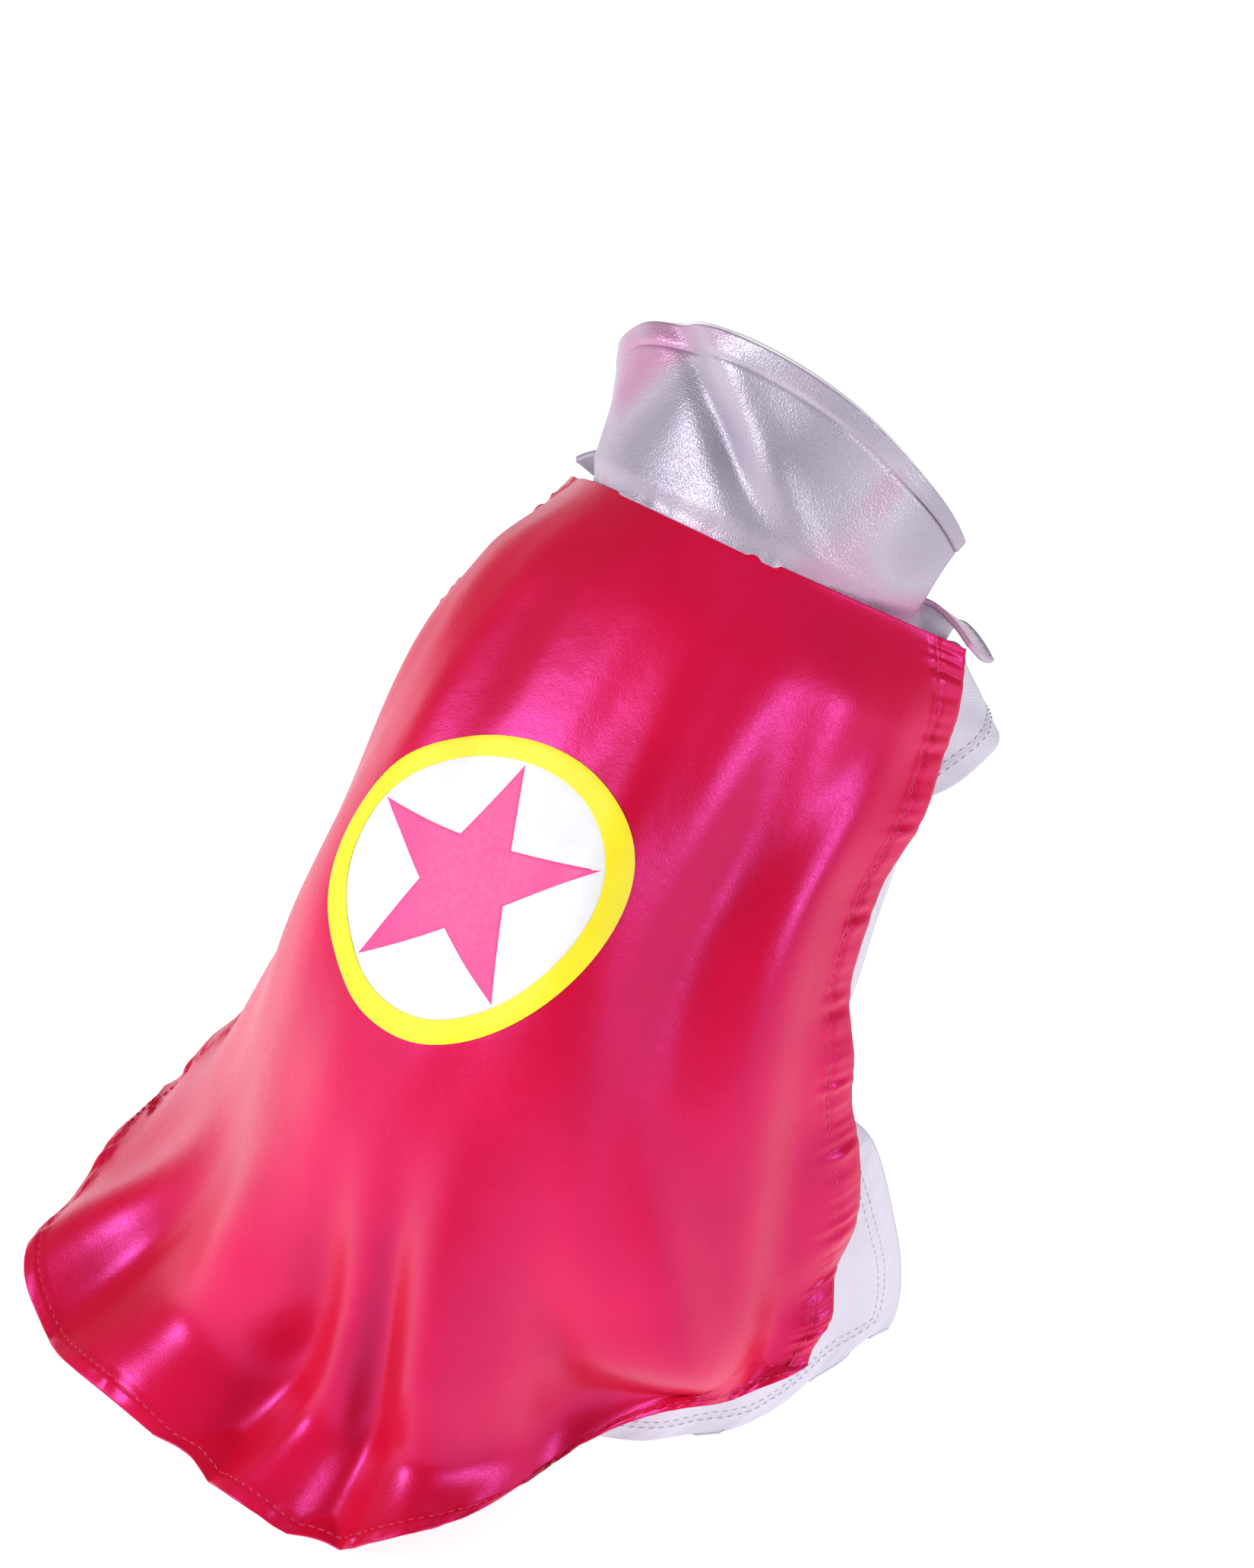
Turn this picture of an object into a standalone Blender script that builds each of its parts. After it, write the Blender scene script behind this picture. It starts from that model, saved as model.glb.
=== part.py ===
"""Superhero cape for a toy-breed dog: satin cape with collar, sewn to a white jersey under-shirt.

Worn shape of a sitting dog. Metres, +Z up, +X the wearer's right, +Y the way the wearer faces.
The origin is the centre of the neck opening.
"""
import math

import bmesh
import bpy
from mathutils import Vector

MM = 0.001

# Driving dimensions, in millimetres.
FLOOR = -188.0            # the floor that the train and the skirt reach, below the neck opening
NECK_HALF_WIDTH = 47.0
NECK_HALF_DEPTH = 50.0    # in the neck opening's own plane, which leans 45 degrees
CAPE_THICKNESS = 1.2
SHIRT_THICKNESS = 1.0
GAP = 0.4                 # kept between neighbouring layers
HEM_INSET = 7.0           # hem stitching, in from the cape's edge
EMBLEM_RADIUS = 41.5
EMBLEM_RING_WIDTH = 6.2
EMBLEM_STAR_RADIUS = 34.2
EMBLEM_LAYER = 0.5
EMBLEM_GAP = 0.6          # under each print layer, because flat facets stand off the curve
STAR_LEAN = math.radians(-4)
EMBLEM_DROP = 105.0       # neckline to emblem centre, down the back
EMBLEM_SIDE = -5.0        # emblem centre from the middle of the back
EMBLEM_STRETCH = 0.10     # the cloth is drawn out along one diagonal of the print
COLLAR_HEIGHT = 45.0
COLLAR_FLARE = 9.0
COLLAR_WRAP = math.radians(70)   # how far round from the nape it stands
SLEEVE_RADIUS = 19.0
SLEEVE_START = -3.0       # along the sleeve, from the centre of its armhole
SLEEVE_END = 17.0
ARMHOLE_CLEARANCE = 1.7
WING_REACH = 18.0         # how far a collar point comes out over the shoulder
BEND_Y = -50.0            # the cape bends on this upright plane when its back is lifted
BEND_SEAM = 0.003         # half the slit between the cape's two sheets, as a share of its length
BEND_THREAD = 0.012       # the same for its stitching
HEM_T = 0.97              # how far down the cape its hem stitching runs
SKIRT_HEM_Q = 0.955       # how far down the skirt its hem stitching runs
CAPE_THREAD_RADIUS = 0.35
WHITE_THREAD_RADIUS = 0.3
LEAN = math.sqrt(0.5)     # the neck opening leans 45 degrees

# The cape from neckline to hem: centre of the back (y, z), then its right and left edges (x, y, z).
CAPE_STATIONS = (
    ((-36, 36), (62, 0, 3), (-60, -4, 2)),
    ((-60, 24), (66, -10, -14), (-63, -26, -6)),
    ((-90, -2), (69, -32, -32), (-67, -46, -15)),
    ((-117, -30), (71, -54, -54), (-74, -57, -43)),
    ((-143, -66), (76, -64, -82), (-82, -60, -72)),
    ((-160, -105), (80, -66, -106), (-90, -68, -104)),
    ((-170, -145), (83, -72, -134), (-102, -80, -138)),
    ((-178, -173), (84, -83, -153), (-116, -90, -166)),
    ((-203, -187), (84, -93, -166), (-130, -98, -184)),
)
SKIRT_FLARE = 11.0               # the thighs push the skirt's front edges out
SKIRT_SPAN = math.radians(113.4)  # how far round it goes from the back
SKIRT_ROUNDING = 0.9             # draws its lower front corners back
CAPE_WRAP = math.radians(85)     # how far round the body the edges come
NECK_WRAP = math.radians(95)

# Where the hem is pulled off its even curve: place across, width of the pull, shift in mm.
CAPE_HEM_PULLS = (
    (-0.56, 0.22, (-6.0, -16.0, 0.0)),
    (0.60, 0.26, (-5.0, 27.0, 12.0)),
)

# The shirt from neck to waist: spine (y, z), belly (y, z), half width.
SHIRT_STATIONS = (
    ((-34, 34), (34, -34), 45.5),
    ((-56, 20), (38, -58), 52),
    ((-84, -6), (24, -82), 56),
    ((-110, -34), (4, -104), 60),
    ((-135, -69), (-21, -124), 65),
)

# The skirt from waist to floor: back (y, z), middle of the sides relative to it (y, z), half width.
SKIRT_STATIONS = (
    ((-136, -71), (57, -27.5), 65.5),
    ((-144, -105), (66, -12), 71),
    ((-147, -148), (72, -3), 76),
    ((-141, -188), (74, 0), 77),
)


def clear_scene():
    for item in list(bpy.data.objects):
        bpy.data.objects.remove(item, do_unlink=True)


def principled(name, colour, roughness, sheen=0.0):
    material = bpy.data.materials.new(name)
    material.use_nodes = True
    shader = material.node_tree.nodes["Principled BSDF"]
    shader.inputs["Base Color"].default_value = (*colour, 1.0)
    shader.inputs["Roughness"].default_value = roughness
    shader.inputs["Sheen Weight"].default_value = sheen
    material.diffuse_color = (*colour, 1.0)
    return material


def blend_stations(stations, t):
    """Smooth Catmull-Rom value of nested number tuples at t from 0 to 1."""
    last = len(stations) - 1
    place = min(max(t, 0.0), 1.0) * last
    index = min(int(place), last - 1)
    f = place - index
    picks = [stations[min(max(index + k, 0), last)] for k in (-1, 0, 1, 2)]

    def mix(a, b, c, d):
        if isinstance(b, tuple):
            return tuple(mix(*four) for four in zip(a, b, c, d))
        return 0.5 * (2 * b + (c - a) * f + (2 * a - 5 * b + 4 * c - d) * f ** 2
                      + (3 * b - a - 3 * c + d) * f ** 3)
    return mix(*picks)


def neck_point(angle, out=0.0, rise=0.0):
    """A point by the neck opening: angle 0 is the nape, out is away from its centre, rise along it."""
    x = (NECK_HALF_WIDTH + out) * math.sin(angle)
    back = (NECK_HALF_DEPTH + out) * math.cos(angle)
    return Vector((x, (rise - back) * LEAN, (rise + back) * LEAN))


def cape_point(s, t):
    """The cape's outer face: s from -1, left edge, to 1, right edge, and t from neckline to hem."""
    centre, right, left = blend_stations(CAPE_STATIONS, t)
    edge = right if s > 0 else left
    near_neck = smooth(1 - t * 7)
    wrap = CAPE_WRAP + (NECK_WRAP - CAPE_WRAP) * near_neck
    turn = abs(s) * wrap
    side = abs(edge[0])
    flare = near_neck * (side - NECK_HALF_WIDTH)
    across = (side - flare) * math.sin(turn) / math.sin(wrap) + flare * abs(s) ** 5
    drop = (1 - math.cos(turn)) / (1 - math.cos(wrap))
    spot = Vector((math.copysign(across, s), centre[0] + (edge[1] - centre[0]) * drop,
                   centre[1] + (edge[2] - centre[1]) * drop))
    for middle, width, shift in CAPE_HEM_PULLS:
        spot += Vector(shift) * math.exp(-((s - middle) / width) ** 2) * smooth((t - 0.72) / 0.28)
    spot.z = max(spot.z, FLOOR + 1.0)
    return spot


def smooth(x):
    x = min(max(x, 0.0), 1.0)
    return x * x * (3 - 2 * x)


def bend_t(s):
    """Where along the cape it crosses its bend plane."""
    low, high = 0.0, 0.9
    for _ in range(30):
        middle = (low + high) / 2
        if cape_point(s, middle).y > BEND_Y:
            low = middle
        else:
            high = middle
    return low


def shirt_point(angle, u):
    """The shirt's outer face: angle 0 at the spine, 180 degrees at the belly, u from neck to waist."""
    spine, belly, width = blend_stations(SHIRT_STATIONS, u)
    drop = (1 - math.cos(angle)) / 2
    return Vector((width * math.sin(angle), spine[0] + (belly[0] - spine[0]) * drop,
                   spine[1] + (belly[1] - spine[1]) * drop))


def skirt_point(angle, q):
    """The skirt's outer face: angle 0 at the back, q from waist to floor."""
    angle *= 1 - SKIRT_ROUNDING * max(0.0, q - 0.7) ** 2
    back, side, width = blend_stations(SKIRT_STATIONS, q)
    drop = 1 - math.cos(angle)
    flare = SKIRT_FLARE * smooth((abs(angle) - math.radians(92)) / math.radians(28)) * smooth(q * 3)
    width += flare
    return Vector((width * math.sin(angle), back[0] + side[0] * drop, back[1] + side[1] * drop))


def outward(surface, a, b):
    """Unit normal of a surface function, by small steps."""
    step = 0.004
    da = surface(a + step, b) - surface(a - step, b)
    db = surface(a, min(b + step, 1.0)) - surface(a, max(b - step, 0.0))
    return db.cross(da).normalized()


def lifted(surface, a, b, height):
    return surface(a, b) + outward(surface, a, b) * height


def face_outward(mesh):
    """Turn a closed mesh's faces outward."""
    work = bmesh.new()
    work.from_mesh(mesh)
    bmesh.ops.recalc_face_normals(work, faces=work.faces)
    work.to_mesh(mesh)
    work.free()


def make_object(name, points, faces, material, pivot=(0.0, 0.0, 0.0)):
    """One closed body, with its origin at the pivot, in millimetres."""
    mesh = bpy.data.meshes.new(name)
    mesh.from_pydata([(p - Vector(pivot)) * MM for p in points], [], faces)
    mesh.validate()
    face_outward(mesh)
    mesh.materials.append(material)
    mesh.shade_smooth()
    mesh.set_sharp_from_angle(angle=math.radians(40))
    item = bpy.data.objects.new(name, mesh)
    item.location = Vector(pivot) * MM
    bpy.context.collection.objects.link(item)
    return item


def sheet_solid(name, outer, inner, across, along, material, pivot=(0.0, 0.0, 0.0)):
    """A closed cloth sheet between two faces, each a function of i and j from 0 to 1."""
    points = []
    for face in (outer, inner):
        for j in range(along + 1):
            for i in range(across + 1):
                points.append(face(i / across, j / along))
    row = across + 1
    layer = row * (along + 1)
    faces = []
    for j in range(along):
        for i in range(across):
            a = j * row + i
            quad = (a, a + 1, a + 1 + row, a + row)
            faces.append(quad[::-1])
            faces.append(tuple(k + layer for k in quad))
    rim = list(range(row))
    rim += [j * row + across for j in range(1, along + 1)]
    rim += [along * row + i for i in range(across - 1, -1, -1)]
    rim += [j * row for j in range(along - 1, 0, -1)]
    for a, b in zip(rim, rim[1:] + rim[:1]):
        faces.append((a, b, b + layer, a + layer))
    return make_object(name, points, faces, material, pivot)


def thread(name, route, radius, material, pivot=(0.0, 0.0, 0.0), closed=False, sides=4):
    """A line of stitching as a thin round tube along a route of points."""
    points = []
    count = len(route)
    for k, place in enumerate(route):
        before = route[k - 1] if closed or k else route[0]
        after = route[(k + 1) % count] if closed or k < count - 1 else route[-1]
        ahead = (after - before).normalized()
        side = ahead.cross(Vector((0.31, 0.22, 0.93))).normalized()
        up = side.cross(ahead)
        for n in range(sides):
            turn = 2 * math.pi * n / sides
            points.append(place + (side * math.cos(turn) + up * math.sin(turn)) * radius)
    faces = []
    for k in range(count if closed else count - 1):
        a, b = k * sides, (k + 1) % count * sides
        for n in range(sides):
            m = (n + 1) % sides
            faces.append((a + n, b + n, b + m, a + m))
    if not closed:
        faces.append(tuple(range(sides)))
        faces.append(tuple((count - 1) * sides + n for n in reversed(range(sides))))
    return make_object(name, points, faces, material, pivot)


def swept(surface, angles, lows, highs, name, sizes, material, lift=0.0, thick=SHIRT_THICKNESS,
          pivot=(0.0, 0.0, 0.0)):
    """A sheet over part of a surface function, its outer face lifted by lift."""
    def place(i, j, height):
        a = angles[0] + (angles[1] - angles[0]) * i
        return lifted(surface, a, lows + (highs - lows) * j, height)
    return sheet_solid(name, lambda i, j: place(i, j, lift), lambda i, j: place(i, j, lift - thick),
                       sizes[0], sizes[1], material, pivot)


def build_cape(satin, pivot):
    """The cape, as two sheets that meet at its bend."""
    def part(i, j, height, low, high):
        s = 2 * i - 1
        return lifted(cape_point, s, low(s) + (high(s) - low(s)) * j, height)

    def sheet(name, low, high, rows, centre):
        sheet_solid(name, lambda i, j: part(i, j, 0.0, low, high),
                    lambda i, j: part(i, j, -CAPE_THICKNESS, low, high), 28, rows, satin, centre)
    sheet("cape_shoulder_panel", lambda s: 0.006, lambda s: bend_t(s) - BEND_SEAM, 5, (0.0, 0.0, 0.0))
    sheet("cape_back_panel", lambda s: bend_t(s) + BEND_SEAM, lambda s: 1.0, 17, pivot)


def build_hem_threads(thread_red, pivot):
    """Hem stitching down both sides and along the bottom, and its ends over the shoulders."""
    height = 0.9
    inset = 1 - HEM_INSET / 100
    low = 0.03

    def run(s, first, last, steps):
        return [lifted(cape_point, s, first + (last - first) * k / steps, height) for k in range(steps + 1)]
    down = run(-inset, bend_t(-inset) + BEND_THREAD, HEM_T, 20)
    across = [lifted(cape_point, inset * (k / 16 - 1), HEM_T, height) for k in range(1, 32)]
    up = run(inset, HEM_T, bend_t(inset) + BEND_THREAD, 20)
    thread("cape_hem_thread", down + across + up, CAPE_THREAD_RADIUS, thread_red, pivot)
    for side, sign in (("right", 1), ("left", -1)):
        s = sign * inset
        thread("cape_shoulder_thread_" + side, run(s, low, bend_t(s) - BEND_THREAD, 10),
               CAPE_THREAD_RADIUS, thread_red)


def emblem_frame():
    """The cape parameters of the emblem's centre, and their change for each millimetre."""
    length = 0.0
    t = 0.0
    while length < EMBLEM_DROP:
        length += (cape_point(0, t + 0.002) - cape_point(0, t)).length
        t += 0.002
    per_s = (cape_point(0.1, t) - cape_point(-0.1, t)).length / 0.2
    per_t = (cape_point(0, t + 0.05) - cape_point(0, t - 0.05)).length / 0.1
    return t, 1 / per_s, 1 / per_t


def print_layer(name, inner, outer, height, material, pivot, rings=5, spokes=40):
    """A flat print layer between two outlines, each a radius as a function of its angle."""
    t0, ds, dt = emblem_frame()

    def place(i, j, lift):
        turn = 2 * math.pi * i
        reach = inner(turn) + (outer(turn) - inner(turn)) * j
        across = reach * math.sin(turn)
        up = reach * math.cos(turn)
        s = (EMBLEM_SIDE + across + EMBLEM_STRETCH * up) * ds
        t = t0 - (up + EMBLEM_STRETCH * across) * dt
        return lifted(cape_point, s, t, lift)
    solid = inner(0.0) <= 0.0
    first = 1 if solid else 0
    points = []
    for lift in (height + EMBLEM_LAYER, height):
        for j in range(first, rings + 1):
            points += [place(i / spokes, j / rings, lift) for i in range(spokes)]
    layer = len(points) // 2
    faces = []
    for j in range(rings - first):
        for i in range(spokes):
            a = j * spokes + i
            b = j * spokes + (i + 1) % spokes
            faces.append((a, a + spokes, b + spokes, b))
            faces.append((a + layer, b + layer, b + layer + spokes, a + layer + spokes))
    rim = (rings - first) * spokes
    for i in range(spokes):
        a, b = rim + i, rim + (i + 1) % spokes
        faces.append((a, a + layer, b + layer, b))
        if not solid:
            a, b = i, (i + 1) % spokes
            faces.append((a, b, b + layer, a + layer))
    if solid:
        top, bottom = len(points), len(points) + 1
        points += [place(0, 0, height + EMBLEM_LAYER), place(0, 0, height)]
        for i in range(spokes):
            a, b = i, (i + 1) % spokes
            faces.append((top, a, b))
            faces.append((bottom, b + layer, a + layer))
    return make_object(name, points, faces, material, pivot)


def star_outline(turn):
    """Radius of a five-pointed star whose sides run straight from point to notch."""
    fifth = 2 * math.pi / 5
    half = fifth / 2
    inner = EMBLEM_STAR_RADIUS * math.cos(2 * half) / math.cos(half)
    off = abs((turn - STAR_LEAN + half) % fifth - half)
    notch_x = inner * math.cos(half)
    notch_y = inner * math.sin(half)
    side = notch_y * math.cos(off) - (notch_x - EMBLEM_STAR_RADIUS) * math.sin(off)
    return EMBLEM_STAR_RADIUS * notch_y / side


def build_emblem(yellow, white, pink, pivot):
    hole = EMBLEM_RADIUS - EMBLEM_RING_WIDTH
    print_layer("emblem_ring", lambda a: hole, lambda a: EMBLEM_RADIUS, EMBLEM_GAP, yellow, pivot, rings=1)
    print_layer("emblem_disc", lambda a: 0.0, lambda a: hole - GAP, EMBLEM_GAP, white, pivot)
    print_layer("emblem_star", lambda a: 0.0, star_outline, 2 * EMBLEM_GAP + EMBLEM_LAYER, pink, pivot)


def collar_layer(name, material, out, thick, top_drop=0.0):
    """One layer of the standing collar, out from the neck opening by out at its outer face."""
    seam = 1.5

    def place(i, j, step):
        angle = COLLAR_WRAP * (2 * i - 1)
        height = (COLLAR_HEIGHT - top_drop) * (1 - 0.4 * (2 * i - 1) ** 2)
        rise = seam + (height - seam) * j
        return neck_point(angle, out + COLLAR_FLARE * (rise / COLLAR_HEIGHT) ** 1.5 - step, rise)
    sheet_solid(name, lambda i, j: place(i, 1 - j, 0.0), lambda i, j: place(i, 1 - j, thick), 16, 4,
                material)
    return place


def build_collar(silver, lining, stiffener, thread_silver):
    collar_layer("collar_outer", silver, 2.4, 0.8)
    collar_layer("collar_interfacing", stiffener, 1.2, 0.7, top_drop=3.0)
    place = collar_layer("collar_facing", lining, 0.1, 0.8)
    beyond = 3.2
    route = []
    for k in range(1, 24):
        spot = place(k / 24, 0.9, 0.0)
        route.append(spot + (spot - place(k / 24, 0.9, 1.0)) * beyond)
    thread("collar_edge_thread", route, 0.3, thread_silver)


def wing_hinge(sign):
    """The fold line of a collar point: its two ends."""
    return (neck_point(sign * math.radians(77), 2.6, 6.5), neck_point(sign * math.radians(117), 2.6, 6.5))


def build_wing(side, sign, silver):
    """A collar point, folded out over the shoulder. Its outline narrows to a blunt tip."""
    back, front = wing_hinge(sign)
    pivot = (back + front) / 2
    along = (front - back).normalized()
    neck_axis = Vector((0, LEAN, LEAN))
    out = along.cross(neck_axis).normalized()
    if out.x * sign < 0:
        out = -out
    width = (front - back).length

    def place(i, j, height):
        low = 0.05 + 0.22 * j
        high = 0.97 - 0.25 * j
        spot = back + along * width * (low + (high - low) * i)
        dip = 3.0 * math.sin(math.pi * 0.5 * j)
        return spot + out * (1.0 + WING_REACH * j) + neck_axis * (height - dip)
    half = 0.5
    sheet_solid("collar_wing_" + side, lambda i, j: place(i, j, half), lambda i, j: place(i, j, -half),
                8, 6, silver, pivot)


def cut(item, cutter):
    modifier = item.modifiers.new("armhole", "BOOLEAN")
    modifier.operation = "DIFFERENCE"
    modifier.solver = "EXACT"
    modifier.object = cutter


def sleeve_place(sign):
    """The armhole's centre and the direction the sleeve takes out of it."""
    return Vector((sign * 42, 0, -26)), Vector((sign * 0.49, 0.12, -0.86)).normalized()


def build_sleeve(side, sign, jersey, thread_white):
    base, ahead = sleeve_place(sign)
    across = ahead.cross(Vector((1, 0, 0))).normalized()
    over = across.cross(ahead)
    count = 26

    def ring(turn, along, radius):
        return base + ahead * along + (across * math.cos(turn) + over * math.sin(turn)) * radius

    def wall(out_low, out_high):
        return [ring(2 * math.pi * k / count, a, r) for a, r in (out_low, out_high) for k in range(count)]

    points = wall((SLEEVE_START, SLEEVE_RADIUS), (SLEEVE_END, SLEEVE_RADIUS + 1))
    points += wall((SLEEVE_START, SLEEVE_RADIUS - 1), (SLEEVE_END, SLEEVE_RADIUS))
    faces = []
    for k in range(count):
        m = (k + 1) % count
        a, b, c, d = k, k + count, k + 2 * count, k + 3 * count
        e, f, g, h = m, m + count, m + 2 * count, m + 3 * count
        faces += [(a, e, f, b), (c, d, h, g), (a, c, g, e), (b, f, h, d)]
    make_object("sleeve_" + side, points, faces, jersey)
    route = [ring(2 * math.pi * k / 24, SLEEVE_END - 4, SLEEVE_RADIUS + 1.4) for k in range(24)]
    thread("sleeve_thread_" + side, route, 0.25, thread_white, closed=True)
    cutter_points = []
    for along in (-26.0, 32.0):
        radius = SLEEVE_RADIUS + ARMHOLE_CLEARANCE
        cutter_points += [ring(2 * math.pi * k / count, along, radius) for k in range(count)]
    cutter_faces = [tuple(range(count)), tuple(range(2 * count - 1, count - 1, -1))]
    cutter_faces += [(k, k + count, (k + 1) % count + count, (k + 1) % count) for k in range(count)]
    cutter = make_object("armhole_cutter_" + side, cutter_points, cutter_faces, jersey)
    cutter.hide_render = True
    cutter.display_type = "WIRE"
    return cutter


def flap_pivot(sign):
    """The middle of the side seam that a belly flap folds open about."""
    seam = sign * math.radians(115)
    return (shirt_point(seam, 0.50) + shirt_point(seam, 0.99)) / 2


def build_shirt(jersey, hook, loop, label, thread_white):
    turn = math.radians
    back = swept(shirt_point, (turn(-112), turn(112)), 0.03, 0.985, "shirt_back_panel", (22, 9), jersey)
    chest = swept(shirt_point, (turn(114), turn(246)), 0.03, 0.46, "shirt_chest_panel", (14, 5), jersey)
    for side, sign in (("right", 1), ("left", -1)):
        cutter = build_sleeve(side, sign, jersey, thread_white)
        cut(back, cutter)
        cut(chest, cutter)
    swept(shirt_point, (turn(115), turn(196)), 0.50, 0.99, "belly_flap_right", (10, 4), jersey,
          pivot=flap_pivot(1))
    swept(shirt_point, (turn(164), turn(245)), 0.50, 0.99, "belly_flap_left", (10, 4), jersey,
          lift=4.0, pivot=flap_pivot(-1))
    swept(shirt_point, (turn(170), turn(192)), 0.60, 0.90, "hook_pad", (5, 4), hook, lift=1.2,
          thick=0.8, pivot=flap_pivot(1))
    swept(shirt_point, (turn(168), turn(194)), 0.58, 0.92, "loop_pad", (5, 4), loop, lift=2.3,
          thick=0.7, pivot=flap_pivot(-1))
    swept(shirt_point, (turn(-9), turn(9)), 0.14, 0.24, "care_label", (4, 2), label, lift=-1.5, thick=0.5)
    swept(skirt_point, (-SKIRT_SPAN, SKIRT_SPAN), 0.02, 0.99, "skirt_panel", (24, 6), jersey)
    route = [lifted(skirt_point, (k / 16 - 1) * (SKIRT_SPAN - 0.05), SKIRT_HEM_Q, 1.5) for k in range(33)]
    thread("skirt_hem_thread", route, WHITE_THREAD_RADIUS, thread_white)


def build_neck_tape(tape):
    """The tape inside the neck seam, a closed band."""
    count = 36
    points = []
    for out, rise in ((-2.6, -4.0), (-2.6, 3.0), (-3.6, 3.0), (-3.6, -4.0)):
        points += [neck_point(2 * math.pi * k / count, out, rise) for k in range(count)]
    faces = []
    for a in range(4):
        b = (a + 1) % 4
        for k in range(count):
            m = (k + 1) % count
            faces.append((a * count + k, a * count + m, b * count + m, b * count + k))
    make_object("neck_tape", points, faces, tape)


def main():
    clear_scene()
    satin = principled("crimson_satin", (0.62, 0.02, 0.08), 0.35, 0.3)
    silver = principled("silver_satin", (0.60, 0.54, 0.62), 0.3, 0.2)
    lining = principled("silver_facing", (0.42, 0.36, 0.38), 0.5)
    stiffener = principled("interfacing", (0.85, 0.85, 0.83), 0.9)
    jersey = principled("white_jersey", (0.83, 0.80, 0.87), 0.85, 0.2)
    yellow = principled("print_yellow", (0.95, 0.80, 0.03), 0.6)
    white = principled("print_white", (0.90, 0.89, 0.91), 0.6)
    pink = principled("print_pink", (0.95, 0.10, 0.33), 0.6)
    thread_red = principled("thread_crimson", (0.45, 0.01, 0.06), 0.6)
    thread_silver = principled("thread_silver", (0.70, 0.66, 0.72), 0.5)
    thread_white = principled("thread_white", (0.80, 0.78, 0.84), 0.7)
    tape = principled("neck_tape", (0.80, 0.78, 0.82), 0.8)
    hook = principled("hook_strip", (0.78, 0.77, 0.80), 0.7)
    loop = principled("loop_strip", (0.86, 0.85, 0.88), 0.95)
    label = principled("label", (0.93, 0.93, 0.92), 0.7)

    pivot = cape_point(0, bend_t(0))
    build_cape(satin, pivot)
    build_hem_threads(thread_red, pivot)
    build_emblem(yellow, white, pink, pivot)
    build_collar(silver, lining, stiffener, thread_silver)
    for side, sign in (("right", 1), ("left", -1)):
        build_wing(side, sign, silver)
    build_neck_tape(tape)
    build_shirt(jersey, hook, loop, label, thread_white)


main()
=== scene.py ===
"""Looks of the superhero cape: satin cape with print, silver collar and white jersey under-shirt."""

import math

import bmesh
import bpy
import numpy as np
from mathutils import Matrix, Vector


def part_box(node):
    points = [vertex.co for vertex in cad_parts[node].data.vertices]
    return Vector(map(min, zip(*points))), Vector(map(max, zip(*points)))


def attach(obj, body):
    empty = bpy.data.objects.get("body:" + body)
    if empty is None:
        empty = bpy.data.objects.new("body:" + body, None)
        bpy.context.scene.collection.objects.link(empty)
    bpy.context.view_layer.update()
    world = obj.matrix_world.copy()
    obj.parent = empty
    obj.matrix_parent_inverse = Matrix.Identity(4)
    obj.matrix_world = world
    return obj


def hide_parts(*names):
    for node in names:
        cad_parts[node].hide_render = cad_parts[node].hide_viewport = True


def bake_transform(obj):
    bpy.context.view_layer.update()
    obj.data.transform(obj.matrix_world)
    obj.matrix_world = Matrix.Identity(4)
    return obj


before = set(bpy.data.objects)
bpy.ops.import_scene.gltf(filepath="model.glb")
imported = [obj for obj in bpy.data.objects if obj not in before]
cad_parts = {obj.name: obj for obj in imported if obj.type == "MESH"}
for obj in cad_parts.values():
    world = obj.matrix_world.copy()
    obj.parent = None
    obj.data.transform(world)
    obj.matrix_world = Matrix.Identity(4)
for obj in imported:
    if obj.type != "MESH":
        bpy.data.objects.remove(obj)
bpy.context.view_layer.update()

MM = 0.001
FLOOR = min(low.z for low in (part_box("cape_back_panel")[0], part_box("skirt_panel")[0])) / MM

# Lengths in millimetres, and angles in radians from the back of the neck or body.
NECK_WIDTH = 47.0            # half widths of the neck opening
NECK_DEPTH = 50.0
LEAN = math.sqrt(0.5)        # the neck opening leans 45 degrees
CAPE_WRAP = math.radians(85)
NECK_WRAP = math.radians(95)
CAPE_LENGTH = 292.0          # down the back
CAPE_TOP = 0.002             # the share of it where the cloth starts
CAPE_THICKNESS = 0.55
HEM_WIDTH = 8.5
HEM_STITCH = HEM_WIDTH - 1.2
CHORD_TO_HALF = 2.15         # from the chord of the cape's inner half to its half width
EMBLEM_RADIUS = 41.5
RING_WIDTH = 6.2
STAR_RADIUS = 34.4
STAR_LEAN = math.radians(-4)
EMBLEM_DROP = 105.0          # neckline to its centre
EMBLEM_SIDE = -5.0           # its centre from the middle of the back
EMBLEM_STRETCH = 0.10        # the cloth is drawn out along one diagonal of the print
SKIRT_FLARE = 11.0
SKIRT_SPAN = math.radians(114)
SKIRT_ROUNDING = 0.9         # draws its lower front corners back
SKIRT_RADIUS = 75.0          # turns its angles into lengths
SKIRT_HEIGHT = 118.0
COLLAR_HEIGHT = 46.0
COLLAR_FLARE = 9.0
COLLAR_WRAP = math.radians(78)
COLLAR_STITCH = 0.87         # how far up the collar its edge stitching runs
WING_WIDTH = 34.0            # a collar point along its fold
WING_DEPTH = 27.0
SLEEVE_RADIUS = 19.0
SLEEVE_START = -5.0
SLEEVE_LENGTH = 23.0
ARMHOLE = (-5.6, 34.0)       # the start and end of the armhole cut along the sleeve
WAIST_STITCH = 0.955         # how far down the shirt its waist stitching runs
FLAP_SEAM = 245.0            # where the left belly flap is sewn on, in degrees
FLAP_LIFT = 3.6

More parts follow.
